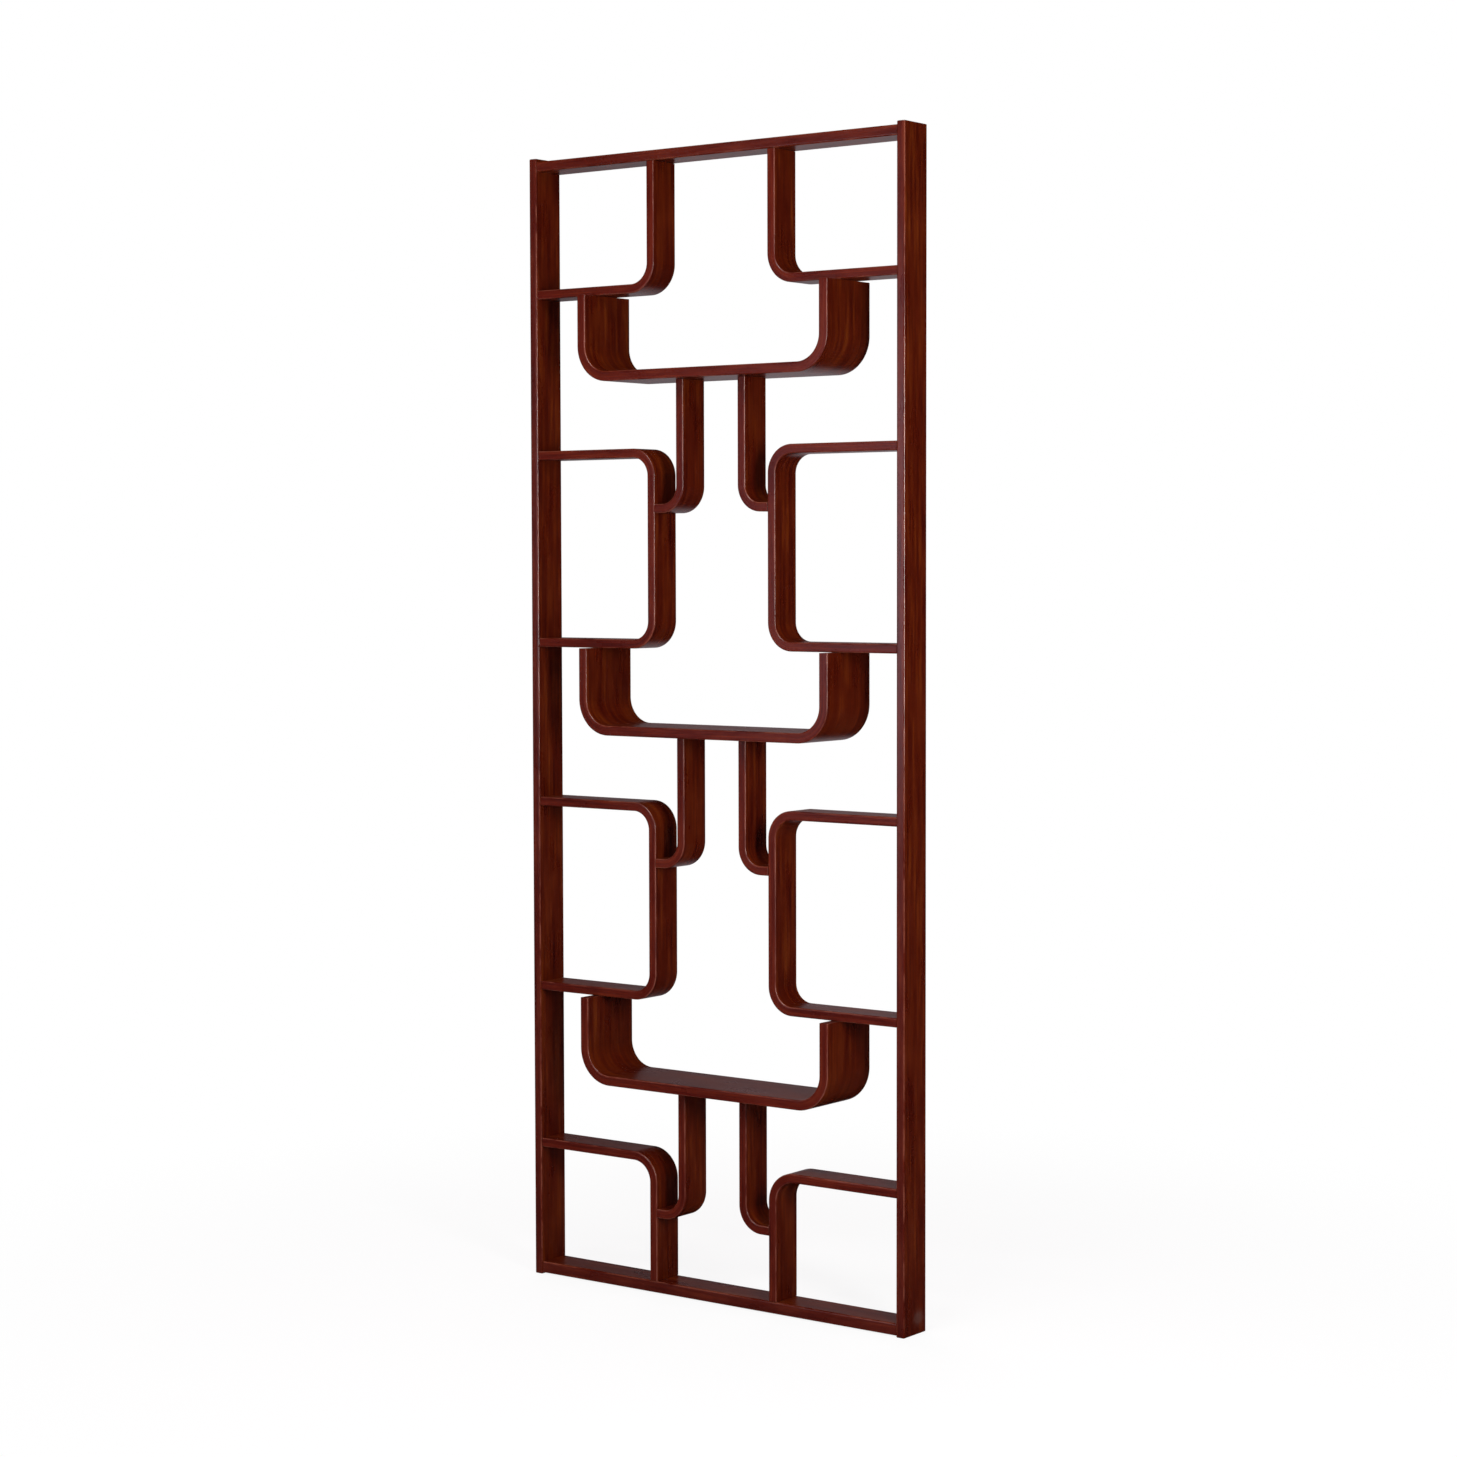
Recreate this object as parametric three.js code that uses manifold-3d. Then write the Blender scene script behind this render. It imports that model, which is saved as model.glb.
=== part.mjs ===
// A room divider of bent plywood strips, held in a frame of two posts and two rails.
// Millimetres, +X to the right, +Y to the back, +Z up. The origin is on the floor, under the middle of the frame.

import * as THREE from "three";
import { mergeVertices } from "three/addons/utils/BufferGeometryUtils.js";
import Module from "manifold-3d";

const wasm = await Module();
wasm.setup();

// ---- Driving dimensions ----

// Frame of solid wood
const HEIGHT = 1900;
const WIDTH = 762;
const POST_THICKNESS = 15.5;
const POST_DEPTH = 63;
const TOP_RAIL_THICKNESS = 17;
const BOTTOM_RAIL_THICKNESS = 19.5;
const RAIL_DEPTH = 59;
const TOP_RAIL_DROP = 5; // from the tops of the posts down to the top rail
const BOTTOM_RAIL_LIFT = 2; // from the floor up to the bottom rail
const FRAME_ARRIS = 1.6; // width of the eased long edges

// Bent strips that branch from the posts: the corner strips and the C-shaped brackets
const STRIP_THICKNESS = 15;
const STRIP_DEPTH = 59;
const STRIP_ARRIS = 1.2;
const CORNER_BEND = 34; // every bend is given by its inside radius
const BRACKET_BEND = 31;
const BRACKET_HEIGHT = 331;
const BRACKET_SPACING = 231; // clear width between the left and the right brackets
const BAY_HEIGHT = 255.5; // clear height of the bays between them, where the shelves hang

// U-shaped shelves
const SHELF_THICKNESS = 16.5;
const SHELF_DEPTH = 119.5;
const SHELF_WIDTH = 508;
const SHELF_HEIGHT = 144.5;
const SHELF_BEND = 43.5;

// J-shaped hooks, two under each shelf
const HOOK_THICKNESS = 15;
const HOOK_DEPTH = 59;
const HOOK_SPACING = 111; // clear width between the two hooks of a pair
const HOOK_HEIGHT = 218;
const HOOK_BEND = 29;

// Stub tenons, at every end that meets a post or a rail
const TENON_THICKNESS = 9;
const TENON_WIDTH = 39;
const TENON_LENGTH = 9;
const TENON_FIT = 0.3; // clearance on each side and at the end

// Dowels, in pairs, wherever the end of one strip meets the face of another
const DOWEL_DIAMETER = 8;
const DOWEL_PITCH = 32;
const DOWEL_CHAMFER = 1;
const DOWEL_FIT = 0.3; // clearance all round and at each end
const FACE_HOLE_DEPTH = 9;
const END_HOLE_DEPTH = 14;

const GLUE_LINE = 0.2; // between the two faces of every joint
const BEND_STEPS = 8; // flats in a quarter turn
const DOWEL_SIDES = 12;

// ---- Faces, centres and levels that follow from them ----

const POST_CENTRE = (WIDTH - POST_THICKNESS) / 2;
const POST_FACE = WIDTH / 2 - POST_THICKNESS;
const BRACKET_FACE = BRACKET_SPACING / 2;
const BRACKET_CENTRE = BRACKET_FACE + STRIP_THICKNESS / 2;
const HOOK_CENTRE = (HOOK_SPACING + HOOK_THICKNESS) / 2;
const ARM_CENTRE = (SHELF_WIDTH - SHELF_THICKNESS) / 2;

const TOP_RAIL_UNDERSIDE = HEIGHT - TOP_RAIL_DROP - TOP_RAIL_THICKNESS;
const TOP_RAIL_CENTRE = TOP_RAIL_UNDERSIDE + TOP_RAIL_THICKNESS / 2;
const BOTTOM_RAIL_CENTRE = BOTTOM_RAIL_LIFT + BOTTOM_RAIL_THICKNESS / 2;
const BOTTOM_RAIL_TOP = BOTTOM_RAIL_LIFT + BOTTOM_RAIL_THICKNESS;

// From the top down, bays and brackets alternate, and the corner strips take up the height that is left.
const TIERS = ["top", "middle", "bottom"];
const BRACKET_TIERS = ["upper", "lower"];
const BAYS_AND_BRACKETS = TIERS.length * BAY_HEIGHT + BRACKET_TIERS.length * BRACKET_HEIGHT;
const CORNER_HEIGHT = (TOP_RAIL_UNDERSIDE - BOTTOM_RAIL_TOP - BAYS_AND_BRACKETS) / 2;

const bayTop = (tier) => TOP_RAIL_UNDERSIDE - CORNER_HEIGHT - tier * (BAY_HEIGHT + BRACKET_HEIGHT);
const bayBottom = (tier) => bayTop(tier) - BAY_HEIGHT;
const shelfLevel = (tier) => bayTop(tier) - SHELF_HEIGHT;

// Height of the middle of a hook's foot, from the bottom of its bay: below it, so negative
const FOOT_RISE = BAY_HEIGHT - SHELF_HEIGHT - HOOK_HEIGHT + HOOK_THICKNESS / 2;

// ---- Materials ----

const stainedWood = new THREE.MeshStandardMaterial({ color: 0x56201a, roughness: 0.42, metalness: 0 });
const stainedPlywood = new THREE.MeshStandardMaterial({ color: 0x4c1a13, roughness: 0.38, metalness: 0 });
const bareBeech = new THREE.MeshStandardMaterial({ color: 0xc9a77c, roughness: 0.8, metalness: 0 });

// ---- Solids, for joining and cutting ----

function solidOf(geometry) {
  const bare = geometry.clone();
  bare.deleteAttribute("normal");
  bare.deleteAttribute("uv");
  const merged = mergeVertices(bare);
  return new wasm.Manifold(
    new wasm.Mesh({
      numProp: 3,
      vertProperties: merged.attributes.position.array,
      triVerts: new Uint32Array(merged.index.array),
    }),
  );
}

function geometryOf(solid) {
  const made = solid.getMesh();
  const shared = new THREE.BufferGeometry();
  shared.setAttribute("position", new THREE.BufferAttribute(made.vertProperties, 3));
  shared.setIndex(new THREE.BufferAttribute(made.triVerts, 1));
  const faceted = shared.toNonIndexed();
  faceted.computeVertexNormals();
  return faceted;
}

// ---- Bars and bent strips ----

// A centre line in the XZ plane through the given corners, each a right angle turned on an arc.
// Its stations have the point and the direction there.
function centreLine(corners, radius) {
  const points = corners.map(([x, z]) => new THREE.Vector2(x, z));
  const headings = points.slice(1).map((point, i) => point.clone().sub(points[i]).normalize());
  const stations = [{ point: points[0], direction: headings[0] }];
  for (let i = 1; i < headings.length; i += 1) {
    const arriving = headings[i - 1];
    const leaving = headings[i];
    const centre = points[i].clone().addScaledVector(arriving, -radius).addScaledVector(leaving, radius);
    for (let step = 0; step <= BEND_STEPS; step += 1) {
      const turn = ((step / BEND_STEPS) * Math.PI) / 2;
      const sine = Math.sin(turn);
      const cosine = Math.cos(turn);
      stations.push({
        point: centre.clone().addScaledVector(arriving, radius * sine).addScaledVector(leaving, -radius * cosine),
        direction: arriving.clone().multiplyScalar(cosine).addScaledVector(leaving, sine),
      });
    }
  }
  stations.push({ point: points.at(-1), direction: headings.at(-1) });
  return stations;
}

// A rectangular section with its corners eased, as pairs of thickness and depth
function easedSection(thickness, depth, arris) {
  const halfThickness = thickness / 2;
  const halfDepth = depth / 2;
  return [
    [halfThickness - arris, -halfDepth],
    [halfThickness, arris - halfDepth],
    [halfThickness, halfDepth - arris],
    [halfThickness - arris, halfDepth],
    [arris - halfThickness, halfDepth],
    [-halfThickness, halfDepth - arris],
    [-halfThickness, arris - halfDepth],
    [arris - halfThickness, -halfDepth],
  ];
}

// The section follows the stations, square to the direction at each, and the two ends are flat.
function sweptGeometry(stations, section) {
  const positions = [];
  const indices = [];
  const count = section.length;
  for (const { point, direction } of stations) {
    for (const [across, depth] of section) {
      positions.push(point.x - direction.y * across, depth, point.y + direction.x * across);
    }
  }
  for (let ring = 0; ring < stations.length - 1; ring += 1) {
    for (let k = 0; k < count; k += 1) {
      const here = ring * count + k;
      const beside = ring * count + ((k + 1) % count);
      indices.push(beside, here, here + count);
      indices.push(beside, here + count, beside + count);
    }
  }
  const last = (stations.length - 1) * count;
  for (let k = 1; k < count - 1; k += 1) {
    indices.push(0, k, k + 1);
    indices.push(last, last + k + 1, last + k);
  }
  const geometry = new THREE.BufferGeometry();
  geometry.setAttribute("position", new THREE.Float32BufferAttribute(positions, 3));
  geometry.setIndex(indices);
  return geometry;
}

function bar(corners, thickness, depth, arris, bend = 0) {
  const stations = centreLine(corners, bend + thickness / 2);
  return solidOf(sweptGeometry(stations, easedSection(thickness, depth, arris)));
}

// ---- Joints ----
// Each is centred on the point where its faces meet, and its axis runs along "x" or "z".
// Half of a tenon's block lies in its own piece, and half of a cutter lies in the open.

function block(axis, [x, z], reach, thickness, width) {
  const sizes = axis === "x" ? [2 * reach, width, thickness] : [thickness, width, 2 * reach];
  return solidOf(new THREE.BoxGeometry(...sizes).translate(x, 0, z));
}

function withTenon(solid, axis, place) {
  return solid.add(block(axis, place, TENON_LENGTH, TENON_THICKNESS, TENON_WIDTH));
}

function withMortise(solid, axis, place) {
  const reach = TENON_LENGTH + TENON_FIT;
  const thickness = TENON_THICKNESS + 2 * TENON_FIT;
  const width = TENON_WIDTH + 2 * TENON_FIT;
  return solid.subtract(block(axis, place, reach, thickness, width));
}

const dowelRows = [-DOWEL_PITCH / 2, DOWEL_PITCH / 2];

function layAlong(axis, geometry) {
  return axis === "x" ? geometry.rotateZ(-Math.PI / 2) : geometry.rotateX(Math.PI / 2);
}

function withDowelHoles(solid, axis, [x, z], depth) {
  const radius = DOWEL_DIAMETER / 2 + DOWEL_FIT;
  let cut = solid;
  for (const y of dowelRows) {
    const drill = layAlong(axis, new THREE.CylinderGeometry(radius, radius, 2 * depth, DOWEL_SIDES));
    cut = cut.subtract(solidOf(drill.translate(x, y, z)));
  }
  return cut;
}

function dowelGeometry(axis) {
  const radius = DOWEL_DIAMETER / 2;
  const halfLength = (FACE_HOLE_DEPTH + GLUE_LINE + END_HOLE_DEPTH) / 2 - DOWEL_FIT;
  const profile = [
    [0, -halfLength],
    [radius - DOWEL_CHAMFER, -halfLength],
    [radius, DOWEL_CHAMFER - halfLength],
    [radius, halfLength - DOWEL_CHAMFER],
    [radius - DOWEL_CHAMFER, halfLength],
    [0, halfLength],
  ].map(([r, along]) => new THREE.Vector2(r, along));
  return layAlong(axis, new THREE.LatheGeometry(profile, DOWEL_SIDES));
}

// ---- The pieces, each made once for the right-hand side ----

function post() {
  let solid = bar([[POST_CENTRE, 0], [POST_CENTRE, HEIGHT]], POST_THICKNESS, POST_DEPTH, FRAME_ARRIS);
  const levels = [BOTTOM_RAIL_CENTRE, TOP_RAIL_CENTRE];
  TIERS.forEach((_, tier) => {
    levels.push(bayTop(tier) + STRIP_THICKNESS / 2, bayBottom(tier) - STRIP_THICKNESS / 2);
  });
  for (const level of levels) solid = withMortise(solid, "x", [POST_FACE, level]);
  return geometryOf(solid);
}

// A rail's height is counted from its own middle, and its mortises open on the face that looks into the frame.
function rail(thickness, inward) {
  const end = POST_FACE - GLUE_LINE;
  let solid = bar([[-end, 0], [end, 0]], thickness, RAIL_DEPTH, FRAME_ARRIS);
  for (const sense of [-1, 1]) {
    solid = withTenon(solid, "x", [sense * end, 0]);
    solid = withMortise(solid, "z", [sense * BRACKET_CENTRE, (inward * thickness) / 2]);
  }
  return geometryOf(solid);
}

// A corner strip's height is counted from the face that looks into the bay. Its leg points up or down from there.
function cornerStrip(sense) {
  const foot = [POST_FACE - GLUE_LINE, (sense * STRIP_THICKNESS) / 2];
  const elbow = [BRACKET_CENTRE, (sense * STRIP_THICKNESS) / 2];
  const head = [BRACKET_CENTRE, sense * (CORNER_HEIGHT - GLUE_LINE)];
  let solid = bar([foot, elbow, head], STRIP_THICKNESS, STRIP_DEPTH, STRIP_ARRIS, CORNER_BEND);
  solid = withTenon(solid, "x", foot);
  return withTenon(solid, "z", head);
}

const topCornerStrip = () => geometryOf(withDowelHoles(cornerStrip(1), "z", [ARM_CENTRE, 0], FACE_HOLE_DEPTH));

const bottomCornerStrip = () =>
  geometryOf(withDowelHoles(cornerStrip(-1), "x", [BRACKET_FACE, FOOT_RISE], FACE_HOLE_DEPTH));

// The heights of a bracket, a shelf and a hook are counted from the bracket's underside, and from the shelf's for both.
function bracket() {
  const end = POST_FACE - GLUE_LINE;
  const low = STRIP_THICKNESS / 2;
  const high = BRACKET_HEIGHT - STRIP_THICKNESS / 2;
  const line = [[end, high], [BRACKET_CENTRE, high], [BRACKET_CENTRE, low], [end, low]];
  let solid = bar(line, STRIP_THICKNESS, STRIP_DEPTH, STRIP_ARRIS, BRACKET_BEND);
  solid = withTenon(solid, "x", line[0]);
  solid = withTenon(solid, "x", line[3]);
  solid = withDowelHoles(solid, "x", [BRACKET_FACE, BRACKET_HEIGHT + FOOT_RISE], FACE_HOLE_DEPTH);
  return geometryOf(withDowelHoles(solid, "z", [ARM_CENTRE, 0], FACE_HOLE_DEPTH));
}

function shelf() {
  const low = SHELF_THICKNESS / 2;
  const high = SHELF_HEIGHT - GLUE_LINE;
  const line = [[-ARM_CENTRE, high], [-ARM_CENTRE, low], [ARM_CENTRE, low], [ARM_CENTRE, high]];
  let solid = bar(line, SHELF_THICKNESS, SHELF_DEPTH, STRIP_ARRIS, SHELF_BEND);
  for (const sense of [-1, 1]) {
    solid = withDowelHoles(solid, "z", [sense * ARM_CENTRE, high], END_HOLE_DEPTH);
    solid = withDowelHoles(solid, "z", [sense * HOOK_CENTRE, 0], FACE_HOLE_DEPTH);
  }
  return geometryOf(solid);
}

function hook() {
  const low = HOOK_THICKNESS / 2 - HOOK_HEIGHT;
  const head = [HOOK_CENTRE, -GLUE_LINE];
  const foot = [BRACKET_FACE - GLUE_LINE, low];
  let solid = bar([head, [HOOK_CENTRE, low], foot], HOOK_THICKNESS, HOOK_DEPTH, STRIP_ARRIS, HOOK_BEND);
  solid = withDowelHoles(solid, "z", head, END_HOLE_DEPTH);
  return geometryOf(withDowelHoles(solid, "x", foot, END_HOLE_DEPTH));
}

// ---- Assembly ----

const screen = new THREE.Group();

function add(parent, name, geometry, material, x = 0, y = 0, z = 0) {
  const mesh = new THREE.Mesh(geometry, material);
  mesh.name = name;
  mesh.position.set(x, y, z);
  parent.add(mesh);
}

add(screen, "top_rail", rail(TOP_RAIL_THICKNESS, -1), stainedWood, 0, 0, TOP_RAIL_CENTRE);
add(screen, "bottom_rail", rail(BOTTOM_RAIL_THICKNESS, 1), stainedWood, 0, 0, BOTTOM_RAIL_CENTRE);

const shelfShape = shelf();
TIERS.forEach((tier, i) => add(screen, `${tier}_shelf`, shelfShape, stainedPlywood, 0, 0, shelfLevel(i)));

const shapes = {
  post: post(),
  topCorner: topCornerStrip(),
  bottomCorner: bottomCornerStrip(),
  bracket: bracket(),
  hook: hook(),
  uprightDowel: dowelGeometry("z"),
  levelDowel: dowelGeometry("x"),
};

// How far a dowel's middle lies from the face of the joint, on the side of the strip that ends there
const DOWEL_OFFSET = (END_HOLE_DEPTH + GLUE_LINE - FACE_HOLE_DEPTH) / 2;

// The left-hand side is the right-hand one turned half round, so its front rows are the back rows there.
for (const [side, turn] of [["right", 0], ["left", Math.PI]]) {
  const half = new THREE.Group();
  half.rotation.z = turn;
  screen.add(half);
  const rows = side === "right" ? ["front", "back"] : ["back", "front"];
  const addDowels = (name, geometry, x, z) => {
    rows.forEach((row, i) => add(half, `${name}_dowel_${row}`, geometry, bareBeech, x, dowelRows[i], z));
  };

  add(half, `${side}_post`, shapes.post, stainedWood);
  add(half, `top_${side}_corner_strip`, shapes.topCorner, stainedPlywood, 0, 0, bayTop(0));
  add(half, `bottom_${side}_corner_strip`, shapes.bottomCorner, stainedPlywood, 0, 0, bayBottom(TIERS.length - 1));
  BRACKET_TIERS.forEach((tier, i) => {
    add(half, `${tier}_${side}_bracket`, shapes.bracket, stainedPlywood, 0, 0, bayTop(i + 1));
  });
  TIERS.forEach((tier, i) => {
    const name = `${tier}_${side}_hook`;
    const hookLevel = shelfLevel(i);
    add(half, name, shapes.hook, stainedPlywood, 0, 0, hookLevel);
    addDowels(`${tier}_shelf_${side}`, shapes.uprightDowel, ARM_CENTRE, bayTop(i) - DOWEL_OFFSET);
    addDowels(`${name}_head`, shapes.uprightDowel, HOOK_CENTRE, hookLevel - DOWEL_OFFSET);
    addDowels(`${name}_foot`, shapes.levelDowel, BRACKET_FACE - DOWEL_OFFSET, bayBottom(i) + FOOT_RISE);
  });
}

export default screen;
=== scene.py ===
"""Looks of an open room divider of bent plywood, stained dark red-brown, with a satin lacquer.

Metres, +X to the right, +Y to the back, +Z up.
"""

import math

import bpy
from mathutils import Matrix, Vector


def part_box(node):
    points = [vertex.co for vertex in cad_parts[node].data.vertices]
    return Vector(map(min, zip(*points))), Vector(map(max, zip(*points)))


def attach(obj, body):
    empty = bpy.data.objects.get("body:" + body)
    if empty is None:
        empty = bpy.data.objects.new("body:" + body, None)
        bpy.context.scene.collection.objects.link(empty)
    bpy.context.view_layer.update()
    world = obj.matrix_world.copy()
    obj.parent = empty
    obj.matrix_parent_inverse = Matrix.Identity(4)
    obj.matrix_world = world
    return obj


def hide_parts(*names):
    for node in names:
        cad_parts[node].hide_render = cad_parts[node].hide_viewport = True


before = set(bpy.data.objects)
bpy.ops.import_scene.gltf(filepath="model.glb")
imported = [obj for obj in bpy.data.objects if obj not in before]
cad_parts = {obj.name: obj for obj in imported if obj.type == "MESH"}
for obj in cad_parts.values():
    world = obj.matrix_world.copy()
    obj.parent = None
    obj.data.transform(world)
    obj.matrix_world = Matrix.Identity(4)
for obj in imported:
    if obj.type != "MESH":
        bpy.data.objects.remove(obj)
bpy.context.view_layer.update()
scene = bpy.context.scene

# ---- The pieces that are made here, the frame's first ----

BARS = ["left_post", "right_post", "top_rail", "bottom_rail"]
BARS += sorted(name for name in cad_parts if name.endswith(("strip", "bracket", "shelf", "hook")))

# ---- Sizes that the solids' boxes don't give ----

STRIP = 0.015  # thickness of a bent strip
SHELF = 0.0165  # thickness of a shelf
GLUE = 0.0002  # from a piece's end to the face that it meets
CORNER_BEND = 0.034  # inside radii of the bends
BRACKET_BEND = 0.031
SHELF_BEND = 0.0435
HOOK_BEND = 0.029
FRAME_ARRIS = 0.0026  # radii of the eased long edges
STRIP_ARRIS = 0.0022
POST_EASE = 0.0016  # radii of the eased ends
END_EASE = 0.0004
PLY = 0.0015  # thickness of one layer of the plywood

QUARTER_TURN = math.pi / 2
BEND_STEPS = 28
ARRIS_STEPS = 4
EASE_STEPS = 3
SUPPORT = 0.0006  # from a rounding to the point that keeps the flat beside it flat
BEND_SUPPORT = 0.002  # the same, along a strip, beside a bend

GRAIN_STEP = 3.7  # from one piece's stretch of the grain to the next piece's, along the grain
GRAIN_SIDESTEP = 0.9  # and along Y

# ---- Bars and bent strips ----


def section(thickness, depth, arris, inset):
    """Points of a bar's section, counter-clockwise. The inset is less than the arris's radius.

    Each has its place across the bar and along Y, and how much it belongs to a narrow edge and to an arris.
    """
    radius = arris - inset
    points = []
    for quarter, (side, front) in enumerate(((1, -1), (1, 1), (-1, 1), (-1, -1))):
        first = (quarter - 1) * QUARTER_TURN
        centre = Vector((side * (thickness / 2 - arris), front * (depth / 2 - arris)))
        for step in range(-1, ARRIS_STEPS + 2):
            turned = min(max(step, 0), ARRIS_STEPS) / ARRIS_STEPS
            angle = first + turned * QUARTER_TURN
            out = Vector((math.cos(angle), math.sin(angle)))
            along = Vector((-out.y, out.x)) * SUPPORT * (step - turned * ARRIS_STEPS)
            place = centre + out * radius + along
            points.append((place.x, place.y, abs(out.y), abs(math.sin(2 * angle))))
    return points


def centre_line(corners, radius):
    """Stations of a line in the XZ plane that turns its corners on arcs.

    Each has its point, its direction and the distance run to it.
    """
    points = [Vector(corner) for corner in corners]
    headings = [(b - a).normalized() for a, b in zip(points, points[1:])]
    stations = [(points[0], headings[0], 0.0)]

    def run_to(point, heading, turned=0.0):
        last, _, run = stations[-1]
        stations.append((point, heading, run + (turned or (point - last).length)))

    for corner, arriving, leaving in zip(points[1:], headings, headings[1:]):
        start = corner - arriving * radius
        centre = start + leaving * radius
        run_to(start - arriving * BEND_SUPPORT, arriving)
        run_to(start, arriving)
        for step in range(1, BEND_STEPS + 1):
            angle = step / BEND_STEPS * QUARTER_TURN
            sine, cosine = math.sin(angle), math.cos(angle)
            place = centre + arriving * radius * sine - leaving * radius * cosine
            run_to(place, arriving * cosine + leaving * sine, radius * QUARTER_TURN / BEND_STEPS)
        run_to(corner + leaving * (radius + BEND_SUPPORT), leaving)
    run_to(points[-1], headings[-1])
    return stations


def eased_end(station, ease, inward):
    """Rings from the face of an end to where its easing stops.

    Inward is 1 at a bar's start and -1 at its end.
    """
    point, heading, run = station
    rings = [(point, heading, run, ease + SUPPORT, 1.0)]
    for step in range(EASE_STEPS + 1):
        angle = step / EASE_STEPS * QUARTER_TURN
        depth = ease * (1 - math.cos(angle)) * inward
        inset = ease * (1 - math.sin(angle))
        rings.append((point + heading * depth, heading, run + depth, inset, math.cos(angle) ** 2))
    depth = (ease + SUPPORT) * inward
    rings.append((point + heading * depth, heading, run + depth, 0.0, 0.0))
    return rings


def rings_along(stations, ease):
    """Rings of a bar: point, direction, distance run, inset, and how much the ring belongs to an end."""
    middle = [(*station, 0.0, 0.0) for station in stations[1:-1]]
    return eased_end(stations[0], ease, 1) + middle + eased_end(stations[-1], ease, -1)[::-1]


def tube_faces(rings, count):
    """Faces of a closed tube that has this many rings, with this count of points each."""
    last = (rings - 1) * count
    faces = [tuple(range(count)), tuple(reversed(range(last, last + count)))]
    for first in range(0, last, count):
        for step in range(count):
            here, beside = first + step, first + (step + 1) % count
            faces.append((beside, here, here + count, beside + count))
    return faces


def in_grain(node, run, across, front):
    """Where a point of a piece lies in the grain, in which each piece has a stretch of its own."""
    number = BARS.index(node) + 1
    return run + GRAIN_STEP * number, across, front + GRAIN_SIDESTEP * number


def bar(node, corners, bend, thickness, arris, ease, material):
    """A bar along a line of straights and bends, as deep as the node whose place it takes."""
    low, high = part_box(node)
    rings = rings_along(centre_line(corners, bend + thickness / 2), ease)
    points, grains, edges, wear_and_highlight_shares, ends = [], [], [], [], []
    for point, heading, run, inset, end in rings:
        for across, front, edge, wear_and_highlight in section(thickness, high.y - low.y, arris, inset):
            points.append((point.x - heading.y * across, front, point.y + heading.x * across))
            grains.extend(in_grain(node, run, across, front))
            edges.append(edge)
            # How much a point lies on an arris or an eased end; the wood is painted paler there, as real
            # wear and as a painted highlight
            wear_and_highlight_shares.append(max(wear_and_highlight, math.sin(math.pi * end)))
            ends.append(end)
    mesh = bpy.data.meshes.new(node + "_wood")
    mesh.from_pydata(points, [], tube_faces(len(rings), len(points) // len(rings)))
    mesh.attributes.new("grain", "FLOAT_VECTOR", "POINT").data.foreach_set("vector", grains)
    for name, values in (("edge", edges), ("wear_and_highlight", wear_and_highlight_shares), ("end", ends)):
        mesh.attributes.new(name, "FLOAT", "POINT").data.foreach_set("value", values)
    mesh.shade_smooth()
    mesh.materials.append(material)
    piece = bpy.data.objects.new(node + "_wood", mesh)
    scene.collection.objects.link(piece)
    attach(piece, "root")
    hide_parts(node)


# ---- Node trees ----


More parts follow.
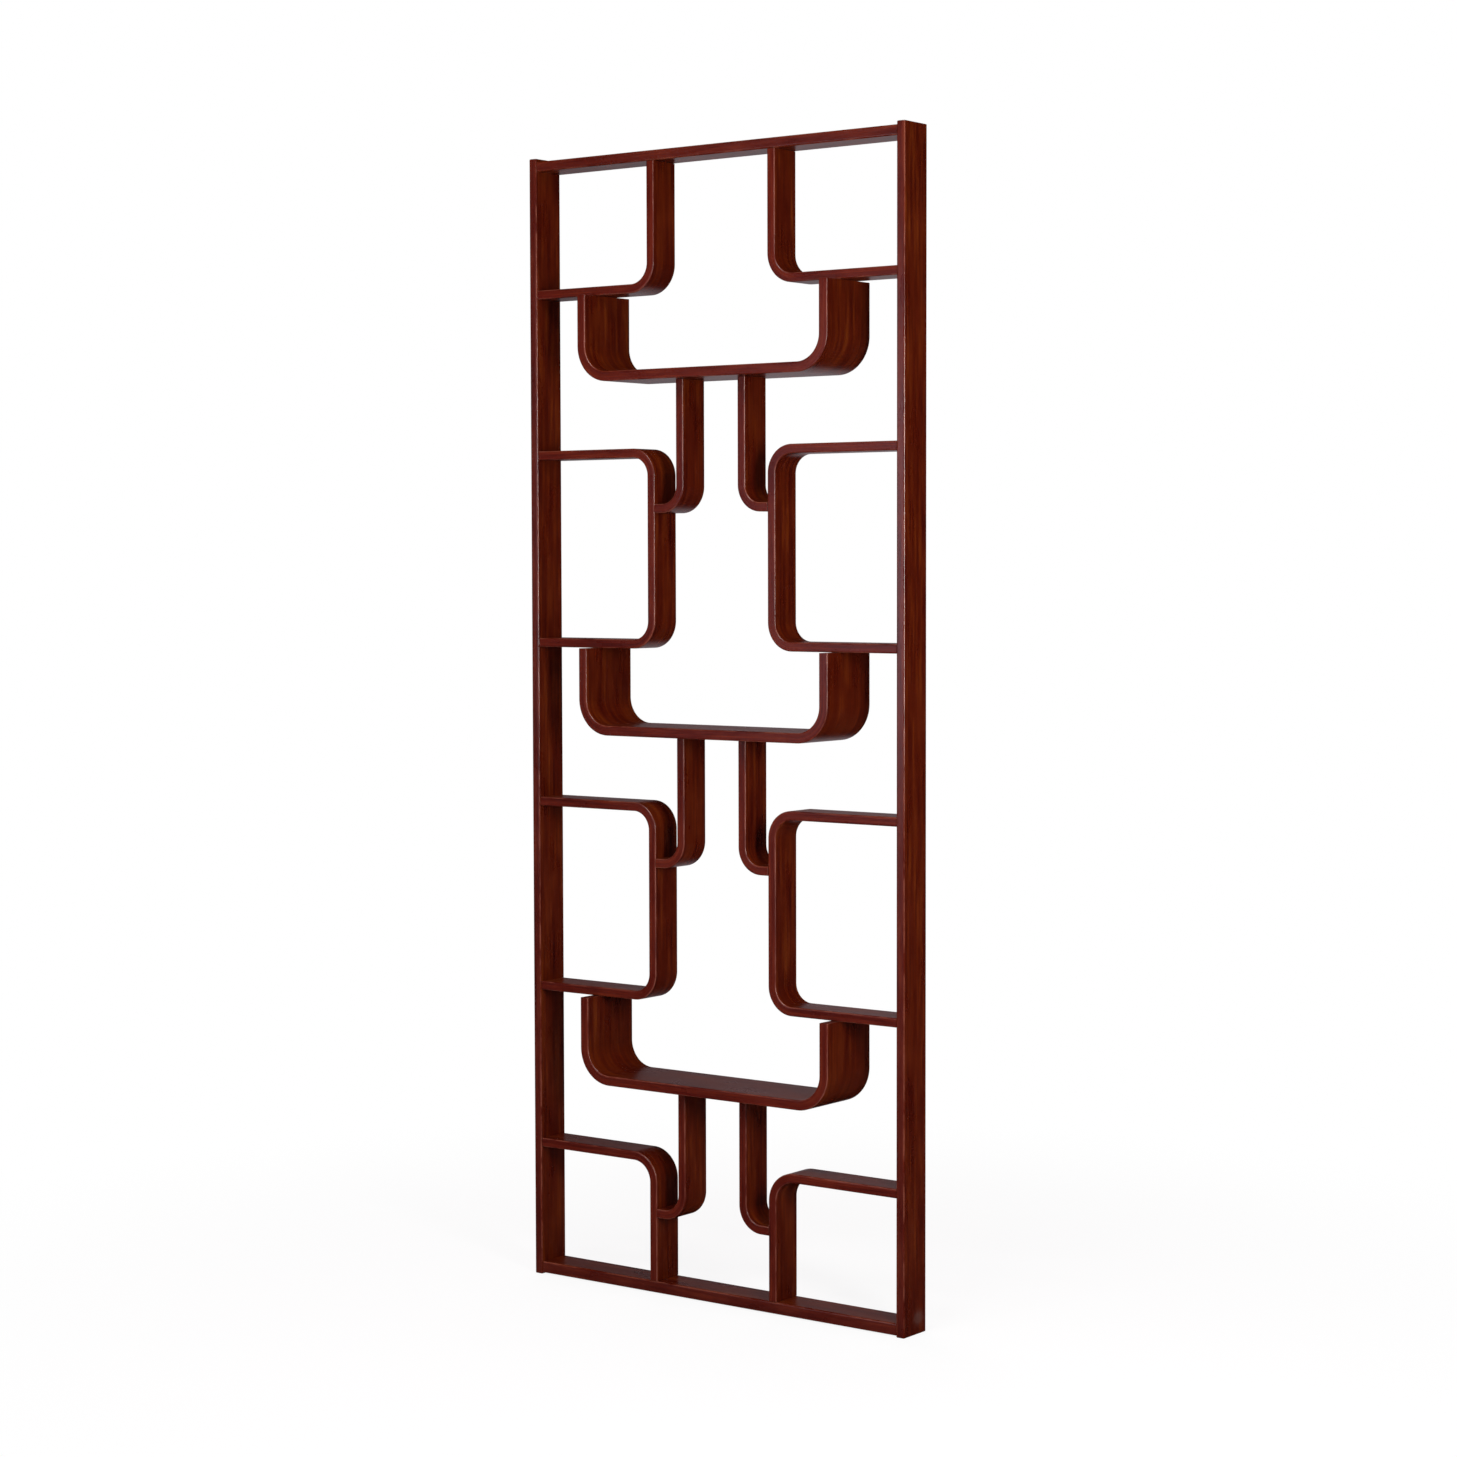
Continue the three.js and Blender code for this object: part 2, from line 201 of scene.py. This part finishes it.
class Tree:
    """The node tree of a material or world, with short calls for the nodes used here."""

    def __init__(self, owner):
        self.owner = owner
        owner.use_nodes = True
        self.tree = owner.node_tree
        self.tree.nodes.clear()

    def add(self, kind, sockets, **settings):
        """A new node. Each socket is given by name or number, with a constant or another node's output."""
        made = self.tree.nodes.new("ShaderNode" + kind)
        for key, value in settings.items():
            setattr(made, key, value)
        for key, value in sockets.items():
            if isinstance(value, bpy.types.NodeSocket):
                self.tree.links.new(value, made.inputs[key])
            else:
                made.inputs[key].default_value = value
        return made

    def maths(self, operation, *values):
        return self.add("Math", dict(enumerate(values)), operation=operation).outputs[0]

    def vector_maths(self, operation, *vectors):
        outputs = self.add("VectorMath", dict(enumerate(vectors)), operation=operation).outputs
        return outputs["Value" if operation in ("DISTANCE", "DOT_PRODUCT", "LENGTH") else "Vector"]

    def attribute(self, name):
        made = self.add("Attribute", {}, attribute_name=name, attribute_type="GEOMETRY")
        return made.outputs["Vector" if name == "grain" else "Fac"]

    def place(self, kind):
        return self.add("TexCoord", {}).outputs[kind]

    def rays(self):
        """Whether a ray comes straight from the camera, and whether it was mirrored or let through."""
        seen = self.add("LightPath", {}).outputs
        mirrored = self.maths("MAXIMUM", seen["Is Glossy Ray"], seen["Is Transmission Ray"])
        return seen["Is Camera Ray"], mirrored

    def noise(self, vector, scale, detail, roughness=0.5, distortion=0.0):
        sockets = {"Vector": self.vector_maths("MULTIPLY", vector, scale), "Scale": 1.0, "Detail": detail}
        sockets |= {"Roughness": roughness, "Distortion": distortion}
        return self.add("TexNoise", sockets).outputs[0]

    def between(self, value, low, high, to_low=0.0, to_high=1.0):
        """A smooth step between two levels of a value."""
        sockets = {0: value, 1: low, 2: high, 3: to_low, 4: to_high}
        return self.add("MapRange", sockets, interpolation_type="SMOOTHSTEP").outputs[0]

    def mix(self, share, first, second, blend="MIX"):
        """Two colours in one. The node takes colours at its sockets 6 and 7, and gives one at output 2."""
        sockets = {0: share, 6: first, 7: second}
        return self.add("Mix", sockets, data_type="RGBA", blend_type=blend).outputs[2]

    def ramp(self, value, stops):
        """Colours along a value. The stops at its two ends come first, and then any between them."""
        made = self.add("ValToRGB", {0: value})
        for element, (place, colour) in zip(made.color_ramp.elements, stops):
            element.position, element.color = place, (*colour, 1.0)
        for place, colour in stops[2:]:
            made.color_ramp.elements.new(place).color = (*colour, 1.0)
        return made.outputs[0]

    def finish(self, colour, roughness, shine, height, bump):
        relief = self.add("Bump", {"Height": height, "Strength": 1.0, "Distance": bump})
        sockets = {"Base Color": colour, "Roughness": roughness, "Normal": relief.outputs[0]}
        sockets["Specular IOR Level"] = shine
        shader = self.add("BsdfPrincipled", sockets)
        self.add("OutputMaterial", {0: shader.outputs[0]})
        return self.owner


# ---- Stained wood ----

# Patterns: how often each changes in a metre (along the piece, across it and along Y), and then the count
# of finer levels in it, their strength and its distortion
STREAKS = ((6.0, 110.0, 110.0), 4.0, 0.65, 0.5)
LINES = ((10.0, 240.0, 240.0), 4.0, 0.65)
BLOTCHES = ((9.0, 26.0, 26.0), 4.0, 0.6)
FLECKS = ((230.0, 2400.0, 2400.0), 1.0)
RUBBING_AND_HIGHLIGHT = ((26.0, 60.0, 60.0), 3.0, 0.65)
RAGGEDNESS = ((220.0, 320.0, 480.0), 3.0, 0.65)
FLECK_LEVELS = (0.60, 0.70)  # levels of their pattern between which flecks come up
RUBBING_AND_HIGHLIGHT_LEVELS = (0.38, 0.62)  # and the same for the pale places on the arrises, partly real wear and partly a painted highlight

# Colours along a pattern: its darkest and its palest, and then the one between them
FACE_STAIN = (
    (0.36, (0.046, 0.0028, 0.0010)),
    (0.64, (0.150, 0.0270, 0.0020)),
    (0.5, (0.088, 0.0088, 0.0010)),
)
EDGE_STAIN = (
    (0.36, (0.056, 0.0044, 0.0018)),
    (0.64, (0.124, 0.0165, 0.0046)),
    (0.5, (0.090, 0.0086, 0.0028)),
)
BLOTCHED = ((0.32, (0.68, 0.46, 0.60)), (0.68, (1.0, 1.0, 1.0)))  # multiplies the stain

# What lies over the stain: how much of it at most, and its colour
FLECK = (0.4, (0.020, 0.0022, 0.0012, 1.0))
END_GRAIN = (0.45, (0.026, 0.0040, 0.0022, 1.0))
# Pale arrises: partly real wear, partly a painted highlight along the rounded edges
WORN_AND_HIGHLIGHT = (0.55, (0.27, 0.085, 0.052, 1.0))

MIDDLE_PLY = 20.5  # the count of plies at a strip's middle, high enough to stay above 0 all across
DARKEST_PLY = 0.96  # brightness against the edge's stain
PLY_VARIETY = 0.42  # how much brighter the palest ply can be
GLUE_LINE = (0.40, 0.48)  # distances from a ply's middle, in plies, between which it turns dark
GLUE_LINE_SHADE = 0.72

FULL_SHINE = 0.5  # of the lacquer on faces; the edges of plywood soak it up
EDGE_SHINE_LOST = 0.24
LACQUER_ROUGHNESS = 0.22
BLOTCH_ROUGHNESS = 0.14  # how much rougher it is where the stain isn't blotched
FRAME_POLISH = 0.10  # how much less rough it is on the arrises
STRIP_POLISH = -0.06
RELIEF = 0.00004  # the height that 1 stands for in the relief
LINE_HEIGHT = 0.6  # how high the grain's lines rise in it
FLECK_DEPTH = 0.8  # and how deep the flecks are

SCUFF_UP = 0.026  # from the right post's foot, on its outer side
SCUFF_BACK = 0.010  # from its middle
SCUFF_RADIUS = 0.016
SCUFF_WANDER = 2.0 * SCUFF_RADIUS  # how far at most its ragged outline moves inwards
SCUFF_FADE = (1.3 * SCUFF_RADIUS, 2.1 * SCUFF_RADIUS)  # where it would begin and end to fade without that
SCUFF_STRENGTH = 0.6
SCUFF_COLOUR = (0.105, 0.040, 0.029, 1.0)
SCUFF_ROUGHNESS = 0.3


def plies(tree, grain):
    """Brightness of the plies on a strip's narrow edges, with a dark glue line between neighbours."""
    across = tree.add("SeparateXYZ", {0: grain}).outputs[1]
    count = tree.maths("MULTIPLY_ADD", across, 1 / PLY, MIDDLE_PLY)
    ply = tree.maths("FLOOR", count)
    chance = tree.add("TexWhiteNoise", {"W": ply}, noise_dimensions="1D").outputs[0]
    shade = tree.maths("MULTIPLY_ADD", chance, PLY_VARIETY, DARKEST_PLY)
    off_middle = tree.maths("ABSOLUTE", tree.maths("SUBTRACT", tree.maths("FRACT", count), 0.5))
    return tree.maths("MULTIPLY", shade, tree.between(off_middle, *GLUE_LINE, 1.0, GLUE_LINE_SHADE))


def scuffed(tree, grain, place):
    """How strongly a round scuff with a ragged outline shows."""
    away = tree.vector_maths("DISTANCE", grain, place)
    away = tree.maths("MULTIPLY_ADD", tree.noise(grain, *RAGGEDNESS), SCUFF_WANDER, away)
    return tree.between(away, *SCUFF_FADE, SCUFF_STRENGTH, 0.0)


def stained_wood(name, polish, layers=False, scuff=None):
    """Stained and lacquered wood, its grain along the piece.

    Polish is how much less rough the lacquer is on the arrises. With layers, narrow edges show the plies.
    A scuff is given by its place in the grain.
    """
    tree = Tree(bpy.data.materials.new(name))
    grain, edge, wear_and_highlight, end = (tree.attribute(part) for part in ("grain", "edge", "wear_and_highlight", "end"))
    streaks, lines, blotches = (tree.noise(grain, *pattern) for pattern in (STREAKS, LINES, BLOTCHES))
    flecks = tree.between(tree.noise(grain, *FLECKS), *FLECK_LEVELS)
    # Pale places on the arrises, partly real wear and partly a painted highlight
    rubbed_and_highlight = tree.between(tree.noise(grain, *RUBBING_AND_HIGHLIGHT), *RUBBING_AND_HIGHLIGHT_LEVELS)
    rubbed_and_highlight = tree.maths("MULTIPLY", tree.maths("POWER", wear_and_highlight, 2.0), rubbed_and_highlight)
    unworn = tree.maths("SUBTRACT", 1.0, wear_and_highlight)

    tone = tree.maths("MULTIPLY_ADD", lines, 0.5, tree.maths("MULTIPLY", streaks, 0.5))
    edge_colour = tree.ramp(tone, EDGE_STAIN)
    shine = FULL_SHINE
    if layers:
        edge_colour = tree.mix(1.0, edge_colour, plies(tree, grain), "MULTIPLY")
        shine = tree.maths("MULTIPLY_ADD", tree.maths("MULTIPLY", edge, unworn), -EDGE_SHINE_LOST, shine)
    colour = tree.mix(edge, tree.ramp(tone, FACE_STAIN), edge_colour)
    colour = tree.mix(1.0, colour, tree.ramp(blotches, BLOTCHED), "MULTIPLY")
    # The last of these paints the pale arrises: real wear and a painted highlight
    for where, (share, shade) in ((flecks, FLECK), (end, END_GRAIN), (rubbed_and_highlight, WORN_AND_HIGHLIGHT)):
        colour = tree.mix(tree.maths("MULTIPLY", where, share), colour, shade)

    roughness = tree.maths("MULTIPLY_ADD", blotches, BLOTCH_ROUGHNESS, LACQUER_ROUGHNESS)
    roughness = tree.maths("MULTIPLY_ADD", wear_and_highlight, -polish, roughness)
    if scuff:
        spot = scuffed(tree, grain, scuff)
        colour = tree.mix(spot, colour, SCUFF_COLOUR)
        roughness = tree.maths("MULTIPLY_ADD", spot, SCUFF_ROUGHNESS, roughness)

    height = tree.maths("MULTIPLY_ADD", flecks, -FLECK_DEPTH, tree.maths("MULTIPLY", lines, LINE_HEIGHT))
    height = tree.maths("MULTIPLY", height, unworn)
    return tree.finish(colour, roughness, shine, height, RELIEF)


post_low, post_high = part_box("right_post")
scuff_place = in_grain("right_post", SCUFF_UP, -(post_high.x - post_low.x) / 2, SCUFF_BACK)
solid_wood = stained_wood("stained_solid_wood", FRAME_POLISH)
right_post_wood = stained_wood("stained_post_wood", FRAME_POLISH, scuff=scuff_place)
plywood = stained_wood("stained_plywood", STRIP_POLISH, layers=True)

# ---- Bare wood of the dowels ----

BEECH_ALONG = 40.0  # how often the pattern changes in a metre along the grain
BEECH_ACROSS = 1200.0  # and across it
BEECH_DETAIL = (3.0, 0.6)  # the count of its finer levels, and their strength
BEECH = ((0.3, (0.42, 0.25, 0.13)), (0.7, (0.66, 0.47, 0.30)))
BEECH_ROUGHNESS = 0.6
BEECH_LINE_ROUGHNESS = 0.2
BEECH_RELIEF = 0.00005


def bare_beech(name, along):
    """Pale wood, its grain along one axis."""
    tree = Tree(bpy.data.materials.new(name))
    scale = tuple(BEECH_ALONG if axis == along else BEECH_ACROSS for axis in "xyz")
    lines = tree.noise(tree.place("Object"), scale, *BEECH_DETAIL)
    roughness = tree.maths("MULTIPLY_ADD", lines, BEECH_LINE_ROUGHNESS, BEECH_ROUGHNESS)
    return tree.finish(tree.ramp(lines, BEECH), roughness, FULL_SHINE, lines, BEECH_RELIEF)


level_beech = bare_beech("beech_level", "x")
upright_beech = bare_beech("beech_upright", "z")

# ---- The pieces ----

at_post = post_low.x - GLUE  # where a rail or strip ends, from the divider's middle
under_top_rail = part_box("top_rail")[0].z - GLUE
over_bottom_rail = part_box("bottom_rail")[1].z + GLUE


def frame_bar(node, corners, thickness, ease, material):
    bar(node, corners, 0.0, thickness, FRAME_ARRIS, ease, material)


def post(node):
    low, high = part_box(node)
    middle = (low.x + high.x) / 2
    wood = right_post_wood if node == "right_post" else solid_wood
    frame_bar(node, [(middle, low.z), (middle, high.z)], high.x - low.x, POST_EASE, wood)


def rail(node):
    low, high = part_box(node)
    middle = (low.z + high.z) / 2
    frame_bar(node, [(-at_post, middle), (at_post, middle)], high.z - low.z, END_EASE, solid_wood)


def bent_strip(node, corners, bend, thickness=STRIP):
    bar(node, corners, bend, thickness, STRIP_ARRIS, END_EASE, plywood)


def strip_middles(node):
    """A strip's side of the divider (-1 is left), and the middles of its upright and its level stretches.

    Those are at its foot and at its head, in this order. Only a bracket has both.
    """
    low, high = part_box(node)
    side = -1 if "_left_" in node else 1
    near = min(abs(low.x), abs(high.x))
    return side, side * (near + STRIP / 2), low.z + STRIP / 2, high.z - STRIP / 2


def corner_strip(node):
    side, upright, under, over = strip_middles(node)
    level, rail_end = (under, under_top_rail) if node.startswith("top") else (over, over_bottom_rail)
    bent_strip(node, [(side * at_post, level), (upright, level), (upright, rail_end)], CORNER_BEND)


def bracket(node):
    side, upright, under, over = strip_middles(node)
    end = side * at_post
    bent_strip(node, [(end, over), (upright, over), (upright, under), (end, under)], BRACKET_BEND)


def shelf(node):
    low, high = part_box(node)
    arm, board = high.x - SHELF / 2, low.z + SHELF / 2
    corners = [(-arm, high.z), (-arm, board), (arm, board), (arm, high.z)]
    bent_strip(node, corners, SHELF_BEND, SHELF)


def hook(node):
    side, upright, under, _ = strip_middles(node)
    low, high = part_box(node)
    tip = side * max(abs(low.x), abs(high.x))
    bent_strip(node, [(upright, high.z), (upright, under), (tip, under)], HOOK_BEND)


makers = {"post": post, "rail": rail, "shelf": shelf}
makers |= {"strip": corner_strip, "bracket": bracket, "hook": hook}
for node in BARS:
    makers[node.split("_")[-1]](node)

for name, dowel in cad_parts.items():
    if "_dowel_" in name:
        for material_slot in dowel.material_slots:
            material_slot.link = "OBJECT"
            material_slot.material = level_beech if "_foot_" in name else upright_beech

# ---- White backdrop behind the divider, and the floor ----

WHITE = (1.0, 1.0, 1.0, 1.0)
BACKDROP_YAW = 0.50  # in radians, from straight behind the divider to the left
BACKDROP = (-math.sin(BACKDROP_YAW), math.cos(BACKDROP_YAW), 0.0)
BACKDROP_EDGE = (0.95, 0.992)  # cosines of the angles from its middle where it ends and where it is whole
MIRRORED_WHITE = 0.39  # how bright it is in the lacquer
MIRRORED_TINT = (1.0, 0.82, 0.88, 1.0)
FLOOR_SIZE = 40.0
FLOOR_FADE = (0.4, 1.8)  # distances from the middle between which the floor turns into plain white
NEAR_WHITE = 0.88  # how much plain white the camera sees in the floor at the divider
PALE_FLOOR = (0.93, 0.93, 0.93, 1.0)


def plain_white(tree, direction, reach=1.0):
    """Brightness and colour of the surroundings, as seen straight from the camera and in the lacquer.

    The camera sees white all round. The lacquer mirrors it only behind the divider, and a dark studio
    elsewhere. Reach is how much of that white is mirrored from here. Any other light has the mirrored tint.
    """
    by_camera, mirrored = tree.rays()
    facing = tree.vector_maths("DOT_PRODUCT", direction, BACKDROP)
    dimmed = tree.maths("MULTIPLY", mirrored, tree.between(facing, *BACKDROP_EDGE, 0.0, MIRRORED_WHITE))
    dimmed = tree.maths("MULTIPLY", dimmed, reach)
    return tree.maths("MAXIMUM", by_camera, dimmed), tree.mix(by_camera, MIRRORED_TINT, WHITE)


def pale_floor():
    """A floor that takes light and shadow, and turns into the plain white further away."""
    tree = Tree(bpy.data.materials.new("pale_floor"))
    place = tree.place("Object")
    away = tree.vector_maths("LENGTH", place)
    white, tint = plain_white(tree, tree.vector_maths("NORMALIZE", place), tree.between(away, *FLOOR_FADE))
    by_camera, mirrored = tree.rays()
    faded = tree.between(away, *FLOOR_FADE, NEAR_WHITE, 1.0)
    share = tree.maths("MAXIMUM", mirrored, tree.maths("MULTIPLY", by_camera, faded))
    pale = tree.add("BsdfDiffuse", {"Color": PALE_FLOOR}).outputs[0]
    glow = tree.add("Emission", {"Color": tint, "Strength": white}).outputs[0]
    tree.add("OutputMaterial", {0: tree.add("MixShader", {0: share, 1: pale, 2: glow}).outputs[0]})
    return tree.owner


bpy.ops.mesh.primitive_plane_add(size=FLOOR_SIZE, location=(0.0, 0.0, 0.0))
floor = bpy.context.object
floor.name = "floor"
floor.data.materials.append(pale_floor())

# ---- Light ----

ROOM_LIGHT = 0.13  # how brightly the studio lights the divider from all round
BACK_LIGHT = 3.4  # and from the back on the left, for its back and left faces
BACK_LIGHT_FROM = (-math.sqrt(0.5), math.sqrt(0.5), 0.0)
BACK_LIGHT_EDGE = (0.62, 0.87)  # cosines of the angles from its middle where it ends and where it is whole
SOFTBOX_AIM = Vector((0.0, 0.0, 1.3))


def studio():
    """The world: plain white for the camera and the lacquer, and dim light for everything else."""
    tree = Tree(bpy.data.worlds.new("studio"))
    direction = tree.place("Generated")
    white, tint = plain_white(tree, direction)
    facing = tree.vector_maths("DOT_PRODUCT", direction, BACK_LIGHT_FROM)
    light = tree.between(facing, *BACK_LIGHT_EDGE, ROOM_LIGHT, BACK_LIGHT)
    by_diffuse = tree.add("LightPath", {}).outputs["Is Diffuse Ray"]
    strength = tree.maths("MULTIPLY_ADD", by_diffuse, light, white)
    background = tree.add("Background", {"Color": tint, "Strength": strength})
    tree.add("OutputWorld", {0: background.outputs[0]})
    return tree.owner


def softbox(name, place, width, height, watts, colour=(1.0, 1.0, 1.0)):
    """A rectangular lamp that points at the divider."""
    lamp = bpy.data.lights.new(name, "AREA")
    lamp.shape, lamp.size, lamp.size_y = "RECTANGLE", width, height
    lamp.energy, lamp.color = watts, colour
    made = bpy.data.objects.new(name, lamp)
    made.location = place
    made.rotation_euler = (SOFTBOX_AIM - Vector(place)).to_track_quat("-Z", "Y").to_euler()
    scene.collection.objects.link(made)


scene.world = studio()
softbox("front_softbox", (-1.25, -3.1, 1.25), width=1.1, height=1.1, watts=12.0, colour=(0.95, 0.84, 1.0))
softbox("side_softbox", (2.0, -1.1, 1.3), width=0.35, height=0.9, watts=36.0)
softbox("top_softbox", (0.5, -2.2, 3.8), width=1.4, height=1.4, watts=88.0)

# ---- The photograph's camera ----

SENSOR = 36.0  # in millimetres
IMAGE = 1457  # the photograph's width, in pixels
FOCAL = 3074.56  # in the photograph's pixels
YAW, PITCH, ROLL = 0.6466, -0.0544, -0.0024  # in radians, from a level look along +Y
CAMERA_PLACE = (3.0394, -4.0073, 1.2222)

ahead = Vector((-math.sin(YAW) * math.cos(PITCH), math.cos(YAW) * math.cos(PITCH), math.sin(PITCH)))
level_right = Vector((math.cos(YAW), math.sin(YAW), 0.0))
level_up = level_right.cross(ahead)
right = level_right * math.cos(ROLL) + level_up * math.sin(ROLL)
up = level_up * math.cos(ROLL) - level_right * math.sin(ROLL)
lens = bpy.data.cameras.new("camera")
lens.sensor_width = SENSOR
lens.lens = FOCAL / IMAGE * SENSOR
camera = bpy.data.objects.new("camera", lens)
turn = Matrix((right, up, -ahead)).transposed().to_4x4()
camera.matrix_world = Matrix.Translation(CAMERA_PLACE) @ turn
scene.collection.objects.link(camera)
scene.camera = camera

scene.view_settings.view_transform = "Standard"
